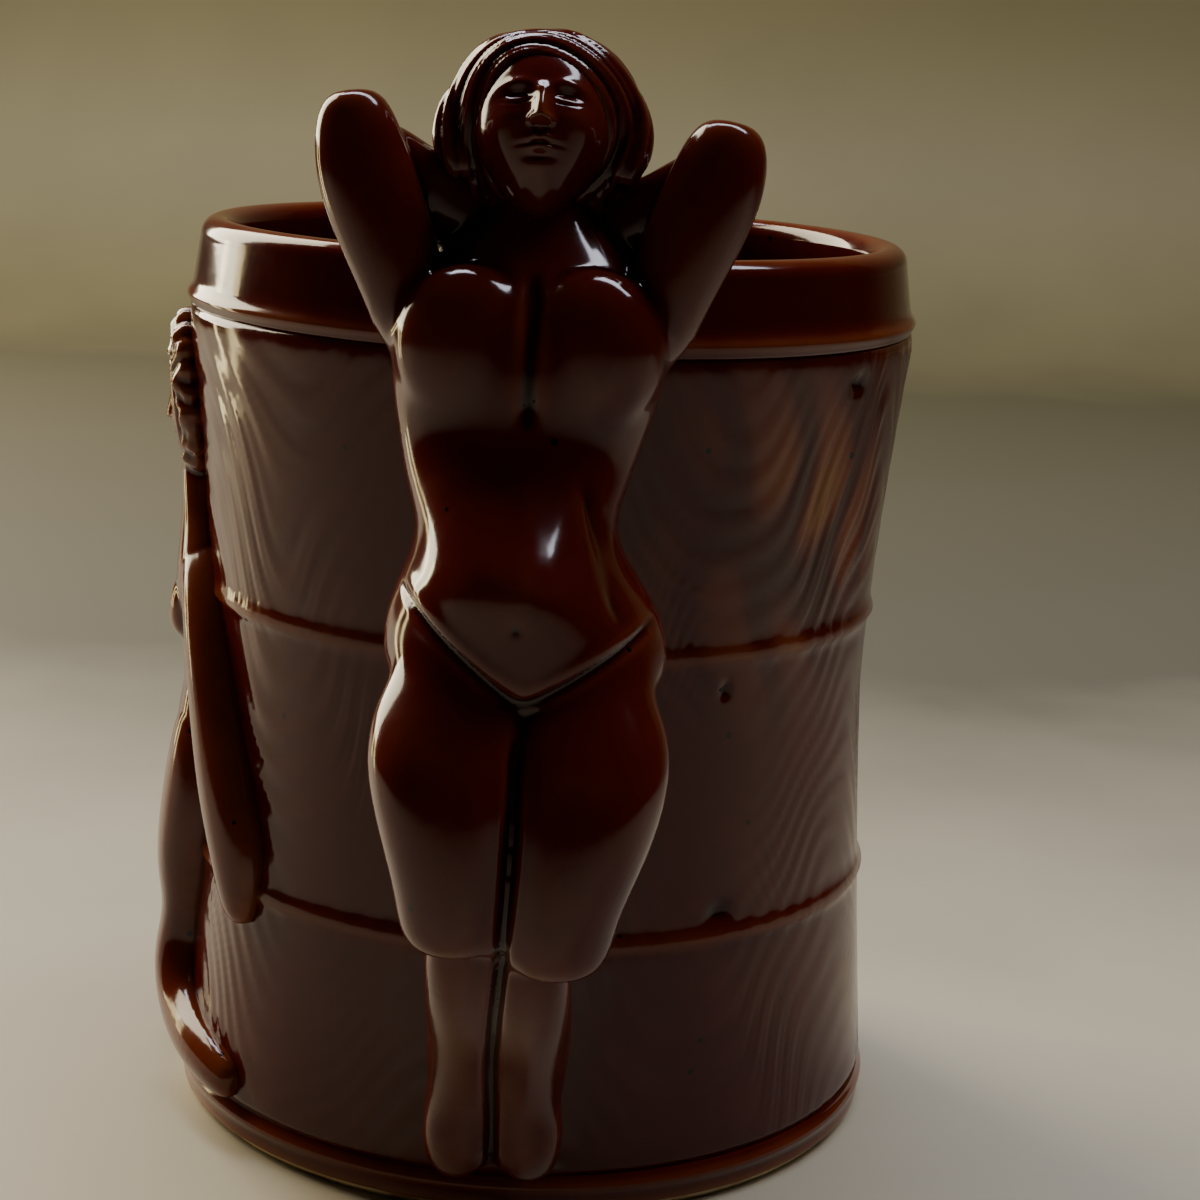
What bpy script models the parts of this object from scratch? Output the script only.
"""Mug with a figure for a handle, in glazed earthenware.

The vessel is a waisted barrel, ringed by moulded hoops. Its handle is a standing figure that leans
out from the rim, bends at the knees and comes back to the foot, so that fingers pass behind it. A
second, low figure lies against the wall on the -X side. Every piece is modelled as it is cast or
pressed, before the pieces are luted together with slip and glazed, with a thin joint between them.

Frame: the vessel's axis is Z, its unglazed underside is at Z = 0, and the handle is on the -Y side.
Lengths below are in millimetres, and meshes are written in metres.
"""

from math import cos, pi, radians, sin

import bmesh
import bpy
from mathutils import Vector

MM = 0.001

# Vessel
RIM_HEIGHT = 108.5
COLLAR_RADIUS = 43.9
WAIST_RADIUS = 40.6
WAIST_HEIGHT = 55.0
FOOT_RADIUS = 44.3
WALL = 4.2
FLOOR = 6.5
INNER_CORNER = 7.0
COLLAR_BAND = 8.9
COLLAR_EASE = 2.6
WAIST_RISE_POWER = 1.5
WAIST_FALL_POWER = 1.3

# Hoops: the middle two stand at these shares of the height between the lowest and the highest
BASE_HOOP_HEIGHT = 3.6
MIDDLE_HOOP_SHARES = (0.29, 0.634)
HOOP_WIDTH = 2.4
HOOP_PROUD = 0.55
HOOP_SHOULDER = (0.6, 0.4)
FOOT_BEVEL = 1.2

# Joint of slip between two pieces
JOINT = 0.3

# Figure: its heights, taken down from the rim or up from the foot
CHEST_DROP = 5.5
HEAD_RISE = 15.0
ELBOW_RISE = 14.4
LEFT_ELBOW_LIFT = 1.4
KNEE_HEIGHT = 44.0
RIGHT_KNEE_DROP = 1.8
ANKLE_HEIGHT = 16.5

# Figure: how far its pieces' middles stand off the wall, and their half widths and half depths
CHEST_STAND = 9.0
BELLY_STAND = 25.0
KNEE_STAND = 34.0
ANKLE_STAND = 5.2
BUST_HALF_WIDTH = 14.0
WAIST_HALF_WIDTH = 9.6
HIP_HALF_WIDTH = 15.0
TORSO_HALF_DEPTH = 7.2
THIGH_HALF_WIDTH = 7.0
THIGH_HALF_DEPTH = 7.2
HIP_SEAT = 0.8
HIP_SHIFT = 0.9
CALF_SHIFT = -0.4
ANKLE_SHIFT = -0.9
SHOULDER_INSET = 1.6
KNEE_HALF_WIDTH = 5.5
CALF_HALF_WIDTH = 4.4
ANKLE_HALF_WIDTH = 3.5
HEAD_HALF_WIDTH = 7.0
HEAD_HALF_LENGTH = 8.4
HEAD_TILT = 25.0
HAIR_HALF_WIDTH = 11.6
ARM_HALF_WIDTH = 4.9
ARM_SPREAD = 19.0

# Relief on the side wall: the bearing of its middle from the handle, and how proud it stands
RELIEF_BEARING = 88.0
RELIEF_PROUD = 4.2

# How finely the turned vessel is divided: steps round it, and the spacing of its profile's points
VESSEL_STEPS = 48
PROFILE_STEP = 7.0
RING_POINTS = 8
RING_GAIN = 3.0 / (2.0 + cos(2.0 * pi / RING_POINTS))
OUTWARD = Vector((0.0, -1.0, 0.0))


def clear_scene():
    """Remove whatever the scene holds."""
    for old in list(bpy.data.objects):
        bpy.data.objects.remove(old, do_unlink=True)


def new_collection(name):
    """Return a new collection in the scene."""
    collection = bpy.data.collections.new(name)
    bpy.context.scene.collection.children.link(collection)
    return collection


def glaze(name, colour, roughness):
    """Return a glazed or bare ceramic material."""
    material = bpy.data.materials.new(name)
    material.use_nodes = True
    shader = material.node_tree.nodes["Principled BSDF"]
    shader.inputs["Base Color"].default_value = (*colour, 1.0)
    shader.inputs["Roughness"].default_value = roughness
    shader.inputs["Metallic"].default_value = 0.0
    return material


def hoop_heights():
    """Return the heights of the hoops, lowest first."""
    low = BASE_HOOP_HEIGHT
    high = RIM_HEIGHT - COLLAR_BAND
    middle = [low + share * (high - low) for share in MIDDLE_HOOP_SHARES]
    return [low, *middle, high]


def wall_radius(height):
    """Return the wall's outer radius at a height: waisted, then straight up the collar."""
    collar_start = RIM_HEIGHT - COLLAR_BAND - COLLAR_EASE
    if height >= collar_start:
        return COLLAR_RADIUS
    if height >= WAIST_HEIGHT:
        share = (height - WAIST_HEIGHT) / (collar_start - WAIST_HEIGHT)
        return WAIST_RADIUS + (COLLAR_RADIUS - WAIST_RADIUS) * share**WAIST_RISE_POWER
    share = (WAIST_HEIGHT - height) / WAIST_HEIGHT
    return WAIST_RADIUS + (FOOT_RADIUS - WAIST_RADIUS) * share**WAIST_FALL_POWER


def arc(centre, radius, start, end, count):
    """Return points (radius, height) along an arc, both ends included."""
    angles = [radians(start + (end - start) * k / (count - 1)) for k in range(count)]
    return [(centre[0] + radius * cos(a), centre[1] + radius * sin(a)) for a in angles]


def outer_side(grow, with_hoops):
    """Return the vessel's outer side from below the lip to above the foot, running down."""
    points = []
    top = RIM_HEIGHT - WALL / 2.0
    heights = hoop_heights()
    edges = [top] + heights[::-1]
    for upper, lower in zip(edges, edges[1:]):
        first = upper - (HOOP_WIDTH if upper != top else 0.0)
        last = lower + HOOP_WIDTH
        steps = max(2, round((first - last) / PROFILE_STEP) + 1)
        for k in range(steps):
            z = first + (last - first) * k / (steps - 1)
            points.append((wall_radius(z) + grow, z))
        if with_hoops:
            crest = wall_radius(lower) + grow
            points.append((crest + HOOP_PROUD * HOOP_SHOULDER[0], lower + HOOP_WIDTH * HOOP_SHOULDER[1]))
            points.append((crest + HOOP_PROUD, lower))
            points.append((crest + HOOP_PROUD * HOOP_SHOULDER[0], lower - HOOP_WIDTH * HOOP_SHOULDER[1]))
    return points


def vessel_profile():
    """Return the vessel's half section, from the middle of its floor out and round to its underside."""
    lip = (COLLAR_RADIUS - WALL / 2.0, RIM_HEIGHT - WALL / 2.0)
    corner_height = FLOOR + INNER_CORNER
    corner = (wall_radius(corner_height) - WALL - INNER_CORNER, corner_height)
    points = [(0.0, FLOOR), (corner[0] * 0.5, FLOOR)]
    points += arc(corner, INNER_CORNER, -90.0, 0.0, 5)
    rise = lip[1] - corner_height
    points += [
        (wall_radius(corner_height + rise * k / 8) - WALL, corner_height + rise * k / 8)
        for k in range(1, 8)
    ]
    points += arc(lip, WALL / 2.0, 180.0, 0.0, 7)
    points += outer_side(0.0, True)[1:]
    points += [(FOOT_RADIUS, FOOT_BEVEL), (FOOT_RADIUS - FOOT_BEVEL, 0.0)]
    points += [((FOOT_RADIUS - FOOT_BEVEL) * 0.5, 0.0), (0.0, 0.0)]
    return points


def turned(name, profile, collection):
    """Return a solid of revolution about Z from a profile that runs down its outer side."""
    mesh = bpy.data.meshes.new(name)
    vertices = [(r * MM, 0.0, z * MM) for r, z in profile]
    mesh.from_pydata(vertices, [(k, k + 1) for k in range(len(profile) - 1)], [])
    turned_object = bpy.data.objects.new(name, mesh)
    collection.objects.link(turned_object)
    screw = turned_object.modifiers.new("turn", "SCREW")
    screw.angle = 2.0 * pi
    screw.steps = VESSEL_STEPS
    screw.render_steps = VESSEL_STEPS
    screw.use_merge_vertices = True
    screw.merge_threshold = 0.00001
    screw.use_smooth_shade = True
    return turned_object


def on_wall(x, stand, height):
    """Return the point that stands off the wall on the handle's side, at a height."""
    return Vector((x, -(wall_radius(height) + stand), height))


def around(bearing, stand, height):
    """Return the point that stands off the wall at a bearing from the handle, towards -X."""
    reach = wall_radius(height) + stand
    return Vector((-reach * sin(radians(bearing)), -reach * cos(radians(bearing)), height))


def radial(point):
    """Return the direction that points away from the vessel's axis."""
    return Vector((point.x, point.y, 0.0)).normalized()


def soft_form(name, stations, collection, facing=None, grow=0.0, levels=2):
    """Return a soft form: oval rings along a path, closed at both ends and subdivided.

    A station is a centre, a half width across the form and a half depth along its facing direction.
    """
    centres = [Vector(station[0]) for station in stations]
    start_push = (centres[0] - centres[1]).normalized() * grow
    end_push = (centres[-1] - centres[-2]).normalized() * grow
    form = bmesh.new()
    rings = []
    last = len(centres) - 1
    for k, (_, half_width, half_depth) in enumerate(stations):
        tangent = (centres[min(k + 1, last)] - centres[max(k - 1, 0)]).normalized()
        out = radial(centres[k]) if facing is None else facing
        side = tangent.cross(out).normalized()
        front = side.cross(tangent)
        push = start_push if k == 0 else end_push if k == last else Vector()
        ring = []
        for j in range(RING_POINTS):
            angle = 2.0 * pi * (j + 0.5) / RING_POINTS
            across = side * cos(angle) * (half_width + grow) * RING_GAIN
            deep = front * sin(angle) * (half_depth + grow) * RING_GAIN
            ring.append(form.verts.new((centres[k] + push + across + deep) * MM))
        rings.append(ring)
    for lower, upper in zip(rings, rings[1:]):
        for j in range(RING_POINTS):
            after = (j + 1) % RING_POINTS
            form.faces.new((lower[j], lower[after], upper[after], upper[j]))
    form.faces.new(rings[0])
    form.faces.new(rings[-1])
    bmesh.ops.recalc_face_normals(form, faces=form.faces)
    mesh = bpy.data.meshes.new(name)
    form.to_mesh(mesh)
    form.free()
    mesh.shade_smooth()
    soft = bpy.data.objects.new(name, mesh)
    collection.objects.link(soft)
    subdivide = soft.modifiers.new("soften", "SUBSURF")
    subdivide.levels = levels
    subdivide.render_levels = levels
    return soft


def hide_as_cutter(cutter):
    """Mark an object as a cutter, which is no piece of the mug."""
    cutter.hide_render = True
    cutter.display_type = "WIRE"


def combine(piece, other, operation):
    """Add a Boolean of one object on another."""
    boolean = piece.modifiers.new(operation.lower(), "BOOLEAN")
    boolean.operation = operation
    boolean.object = other
    boolean.solver = "EXACT"


class Maker:
    """Makes the pieces in order, each cut back from the ones that it is luted to."""

    def __init__(self):
        self.pieces = new_collection("figure_mug")
        self.cutters = new_collection("cutters")
        self.grown = {}

    def vessel(self, name, material):
        """Make the turned vessel, and the cutter that stands one joint outside it."""
        vessel = turned(name, vessel_profile(), self.pieces)
        vessel.data.materials.append(material)
        shell = [(0.0, RIM_HEIGHT + JOINT), (COLLAR_RADIUS - WALL - JOINT, RIM_HEIGHT + JOINT)]
        lip = (COLLAR_RADIUS - WALL / 2.0, RIM_HEIGHT - WALL / 2.0)
        shell += arc(lip, WALL / 2.0 + JOINT, 90.0, 0.0, 4)
        shell += outer_side(JOINT, True)[1:]
        shell += [(FOOT_RADIUS + JOINT, -JOINT), (0.0, -JOINT)]
        cutter = turned("cut_" + name, shell, self.cutters)
        hide_as_cutter(cutter)
        self.grown[name] = [cutter]

    def piece(self, name, forms, material, luted_to, facing=OUTWARD, levels=2):
        """Make one piece from one or more soft forms, cut back by what it is luted to."""
        body = soft_form(name, forms[0], self.pieces, facing, levels=levels)
        body.data.materials.append(material)
        self.grown[name] = []
        for number, stations in enumerate(forms):
            grown = soft_form(f"cut_{name}_{number}", stations, self.cutters, facing, JOINT, levels)
            hide_as_cutter(grown)
            self.grown[name].append(grown)
        for number, stations in enumerate(forms[1:]):
            extra = soft_form(f"add_{name}_{number}", stations, self.cutters, facing, levels=levels)
            hide_as_cutter(extra)
            combine(body, extra, "UNION")
        for neighbour in luted_to:
            for cutter in self.grown[neighbour]:
                combine(body, cutter, "DIFFERENCE")


def torso_forms():
    """Return the torso's stations, from the neck down to the hips."""
    chest = RIM_HEIGHT - CHEST_DROP
    span = chest - KNEE_HEIGHT
    deep = TORSO_HALF_DEPTH
    lean = BELLY_STAND - CHEST_STAND
    shoulders = BUST_HALF_WIDTH - SHOULDER_INSET
    flank = WAIST_HALF_WIDTH + 0.4
    return [
        [
            (on_wall(0.0, CHEST_STAND - 3.0, chest + 12.5), 3.8, 3.8),
            (on_wall(0.0, CHEST_STAND - 2.2, chest + 8.6), 5.6, 5.0),
            (on_wall(0.0, CHEST_STAND - 1.6, chest + 5.4), shoulders, deep + 1.4),
            (on_wall(-0.2, CHEST_STAND - 0.6, chest), BUST_HALF_WIDTH, deep + 4.0),
            (on_wall(-0.3, CHEST_STAND + lean * 0.24, chest - span * 0.13), BUST_HALF_WIDTH - 1.4, deep),
            (on_wall(-1.1, CHEST_STAND + lean * 0.56, chest - span * 0.28), WAIST_HALF_WIDTH, deep - 0.8),
            (on_wall(-0.9, CHEST_STAND + lean * 0.8, chest - span * 0.38), flank, deep - 0.6),
            (on_wall(0.2, BELLY_STAND, chest - span * 0.47), HIP_HALF_WIDTH - 1.6, deep),
            (on_wall(0.7, BELLY_STAND + 3.2, chest - span * 0.56), HIP_HALF_WIDTH, deep + 0.5),
            (on_wall(HIP_SHIFT, BELLY_STAND + 5.0, chest - span * 0.64), HIP_HALF_WIDTH - 1.4, deep + 0.4),
        ]
    ]


def knee_height(hand):
    """Return a knee's height: the knee on the +X side hangs a little lower."""
    return KNEE_HEIGHT - (RIGHT_KNEE_DROP if hand > 0 else 0.0)


def thigh_forms(hand):
    """Return the thigh's stations on one side, hand -1 for -X, from the hip down to the knee."""
    chest = RIM_HEIGHT - CHEST_DROP
    low = knee_height(hand)
    span = chest - low
    middle = HIP_SHIFT + hand * (THIGH_HALF_WIDTH + JOINT / 2.0)
    inside = middle - hand * HIP_SEAT
    knee = HIP_SHIFT + hand * (KNEE_HALF_WIDTH + JOINT)
    return [
        [
            (on_wall(inside, BELLY_STAND + 4.0, chest - span * 0.58), THIGH_HALF_WIDTH - 1.4 - HIP_SEAT, 4.6),
            (on_wall(middle, BELLY_STAND + 5.8, chest - span * 0.7), THIGH_HALF_WIDTH, THIGH_HALF_DEPTH),
            (on_wall(middle, KNEE_STAND - 1.4, low + span * 0.17), THIGH_HALF_WIDTH - 0.3, 7.0),
            (on_wall(knee, KNEE_STAND, low + 4.0), KNEE_HALF_WIDTH, 6.4),
            (on_wall(knee, KNEE_STAND - 1.0, low - 0.8), KNEE_HALF_WIDTH - 0.9, 5.4),
        ]
    ]


def shin_forms(hand):
    """Return the stations of the shin and foot on one side, from behind the knee to the toes."""
    calf = CALF_SHIFT + hand * (CALF_HALF_WIDTH + JOINT)
    ankle = ANKLE_SHIFT + hand * (ANKLE_HALF_WIDTH + JOINT)
    low = knee_height(hand)
    fall = low - ANKLE_HEIGHT
    reach = KNEE_STAND - ANKLE_STAND
    return [
        [
            (on_wall(calf, KNEE_STAND - 3.4, low + 2.4), CALF_HALF_WIDTH - 0.6, 3.6),
            (on_wall(calf, KNEE_STAND - reach * 0.3, low - fall * 0.24), CALF_HALF_WIDTH - 0.2, 4.4),
            (on_wall(calf, ANKLE_STAND + reach * 0.26, low - fall * 0.62), CALF_HALF_WIDTH, 4.6),
            (on_wall(ankle, ANKLE_STAND, ANKLE_HEIGHT), ANKLE_HALF_WIDTH, 4.0),
            (on_wall(ankle, ANKLE_STAND - 2.0, ANKLE_HEIGHT - 5.6), ANKLE_HALF_WIDTH + 0.2, 3.6),
            (on_wall(ankle, ANKLE_STAND - 3.0, ANKLE_HEIGHT - 9.4), ANKLE_HALF_WIDTH - 0.8, 2.2),
        ]
    ]


def arm_forms(hand):
    """Return the stations of the raised upper arm, and of the forearm that goes behind the head."""
    chest = RIM_HEIGHT - CHEST_DROP
    elbow = RIM_HEIGHT + ELBOW_RISE + (LEFT_ELBOW_LIFT if hand < 0 else 0.0)
    shoulder = hand * (BUST_HALF_WIDTH - SHOULDER_INSET)
    spread = hand * ARM_SPREAD
    wide = ARM_HALF_WIDTH
    upper = [
        (on_wall(shoulder, CHEST_STAND + 0.6, chest - 3.0), wide - 2.2, 3.8),
        (on_wall(shoulder + hand * 0.4, CHEST_STAND + 0.8, chest + 2.4), wide - 0.6, 4.4),
        (on_wall(shoulder + (spread - shoulder) * 0.5, CHEST_STAND + 0.6, chest + 9.5), wide, 4.6),
        (on_wall(shoulder + (spread - shoulder) * 0.86, CHEST_STAND, chest + 15.6), wide, 4.4),
        (on_wall(spread, CHEST_STAND - 0.6, elbow + 0.6), wide - 1.6, 3.4),
    ]
    fore = [
        (on_wall(spread - hand * 0.6, CHEST_STAND - 1.4, elbow - 2.0), 3.0, 3.0),
        (on_wall(spread * 0.72, CHEST_STAND - 5.2, elbow - 2.8), 3.2, 3.2),
        (on_wall(spread * 0.42, CHEST_STAND - 8.6, elbow - 4.0), 3.0, 3.0),
        (on_wall(spread * 0.2, CHEST_STAND - 10.0, elbow - 5.0), 2.4, 2.4),
    ]
    return [upper, fore]


def head_centre():
    """Return the middle of the head."""
    return on_wall(0.0, CHEST_STAND - 3.4, RIM_HEIGHT + HEAD_RISE)


def head_forms():
    """Return the head's stations along its tilted axis, from the chin up to the crown."""
    crown = Vector((0.0, sin(radians(HEAD_TILT)), cos(radians(HEAD_TILT))))
    shape = (
        (-0.96, 0.34, 0.4),
        (-0.66, 0.72, 0.86),
        (-0.12, 0.98, 1.08),
        (0.42, 1.0, 1.1),
        (0.82, 0.72, 0.78),
    )
    return [
        [
            (
                head_centre() + crown * along * HEAD_HALF_LENGTH,
                HEAD_HALF_WIDTH * wide,
                HEAD_HALF_WIDTH * deep,
            )
            for along, wide, deep in shape
        ]
    ]


def hair_forms():
    """Return the stations of the hair: a mass behind and round the head, down to the neck."""
    crown = head_centre() + Vector((0.0, 2.8, HEAD_HALF_LENGTH))
    wide = HAIR_HALF_WIDTH
    return [
        [
            (crown + Vector((0.0, 1.6, -0.6)), wide * 0.5, 4.2),
            (crown + Vector((0.0, 0.4, -3.4)), wide * 0.78, 6.6),
            (crown + Vector((0.0, 0.2, -8.4)), wide * 0.96, 7.0),
            (crown + Vector((0.0, 0.8, -13.4)), wide, 6.2),
            (crown + Vector((0.0, 1.8, -17.8)), wide * 0.8, 5.0),
            (crown + Vector((0.0, 2.4, -20.6)), wide * 0.55, 3.6),
        ]
    ]


def relief_path(points):
    """Return the stations of a low form along the wall: bearing, height, half width and how proud."""
    return [(around(bearing, 0.4, z), wide, proud) for bearing, z, wide, proud in points]


def relief_pieces():
    """Return the side figure's pieces: name, points and the pieces that they meet."""
    mid = RELIEF_BEARING
    proud = RELIEF_PROUD
    top = RIM_HEIGHT - COLLAR_BAND - HOOP_WIDTH
    low = BASE_HOOP_HEIGHT + HOOP_WIDTH
    span = top - low
    neck = top - span * 0.22
    hip = low + span * 0.44
    head = (
        (mid, top - 0.6, 5.0, proud * 0.5),
        (mid, top - 4.6, 8.0, proud * 0.85),
        (mid, top - 11.0, 8.4, proud * 0.95),
        (mid, neck - 1.0, 5.6, proud * 0.75),
    )
    torso = (
        (mid, neck + 2.0, 3.2, proud * 0.6),
        (mid, neck - 6.0, 4.2, proud * 0.6),
        (mid, neck - 11.0, 9.4, proud * 0.9),
        (mid, neck - 16.0, 9.8, proud * 1.55),
        (mid, neck - 22.0, 7.4, proud * 0.9),
        (mid, neck - 28.0, 6.6, proud * 0.62),
        (mid, hip, 9.4, proud * 0.85),
        (mid, hip - 4.0, 9.0, proud * 0.9),
    )
    drape = (
        (mid - 6.0, neck - 9.0, 2.6, proud * 0.7),
        (mid - 17.0, neck - 16.0, 3.6, proud * 0.8),
        (mid - 23.0, neck - 26.0, 4.4, proud * 0.8),
        (mid - 30.0, neck - 35.0, 5.0, proud * 0.85),
        (mid - 36.0, neck - 42.0, 4.6, proud * 0.8),
        (mid - 36.0, neck - 49.0, 1.8, proud * 0.4),
    )
    arm = (
        (mid + 6.0, neck - 13.0, 2.8, proud * 0.8),
        (mid + 13.0, neck - 10.0, 3.0, proud * 0.8),
        (mid + 19.0, neck - 4.0, 3.0, proud * 0.8),
        (mid + 20.0, neck + 3.0, 2.8, proud * 0.75),
        (mid + 13.0, neck + 9.0, 2.4, proud * 0.7),
    )
    near_leg = (
        (mid - 6.0, hip - 1.0, 5.2, proud * 0.8),
        (mid - 7.0, hip - 12.0, 5.6, proud * 1.2),
        (mid - 7.0, low + 17.0, 4.6, proud * 0.95),
        (mid - 6.0, low + 9.0, 3.8, proud * 0.8),
        (mid - 14.0, low + 4.0, 3.2, proud * 0.75),
        (mid - 27.0, low + 2.4, 3.0, proud * 0.65),
        (mid - 40.0, low + 0.8, 2.4, proud * 0.45),
    )
    far_leg = (
        (mid + 8.0, hip - 1.0, 5.0, proud * 0.8),
        (mid + 9.0, hip - 12.0, 5.2, proud * 1.25),
        (mid + 8.0, low + 17.0, 3.8, proud * 0.6),
        (mid + 8.0, low + 8.0, 4.2, proud * 0.9),
        (mid + 9.0, low + 1.0, 3.4, proud * 0.6),
    )
    return (
        ("relief_torso", torso, ()),
        ("relief_head", head, ("relief_torso",)),
        ("relief_arm", arm, ("relief_torso", "relief_head")),
        ("relief_drape", drape, ("relief_torso",)),
        ("relief_near_leg", near_leg, ("relief_torso", "relief_drape")),
        ("relief_far_leg", far_leg, ("relief_torso", "relief_near_leg")),
    )


def build():
    """Make every piece of the mug."""
    clear_scene()
    maker = Maker()
    brown = (0.105, 0.018, 0.011)
    maker.vessel("mug_body", glaze("brown_glaze_body", brown, 0.12))
    maker.piece("handle_torso", torso_forms(), glaze("brown_glaze_torso", brown, 0.1), ["mug_body"])
    for side, hand in (("left", -1.0), ("right", 1.0)):
        skin = glaze("brown_glaze_limbs_" + side, (0.12, 0.02, 0.012), 0.1)
        thigh = "handle_thigh_" + side
        met = ["mug_body", "handle_torso"]
        maker.piece(thigh, thigh_forms(hand), skin, met, levels=1)
        maker.piece("handle_shin_" + side, shin_forms(hand), skin, ["mug_body", thigh], levels=1)
        maker.piece("handle_arm_" + side, arm_forms(hand), skin, met, levels=1)
    arms = ["handle_arm_left", "handle_arm_right"]
    met = ["mug_body", "handle_torso", *arms]
    face = glaze("brown_glaze_head", (0.13, 0.03, 0.016), 0.1)
    maker.piece("handle_head", head_forms(), face, met, levels=1)
    hair = glaze("brown_glaze_hair", (0.08, 0.014, 0.01), 0.16)
    maker.piece("handle_hair", hair_forms(), hair, [*met, "handle_head"], levels=1)
    for name, points, neighbours in relief_pieces():
        skin = glaze("brown_glaze_" + name, (0.11, 0.022, 0.013), 0.12)
        met = ["mug_body", *neighbours]
        maker.piece(name, [relief_path(points)], skin, met, facing=None, levels=1)


build()
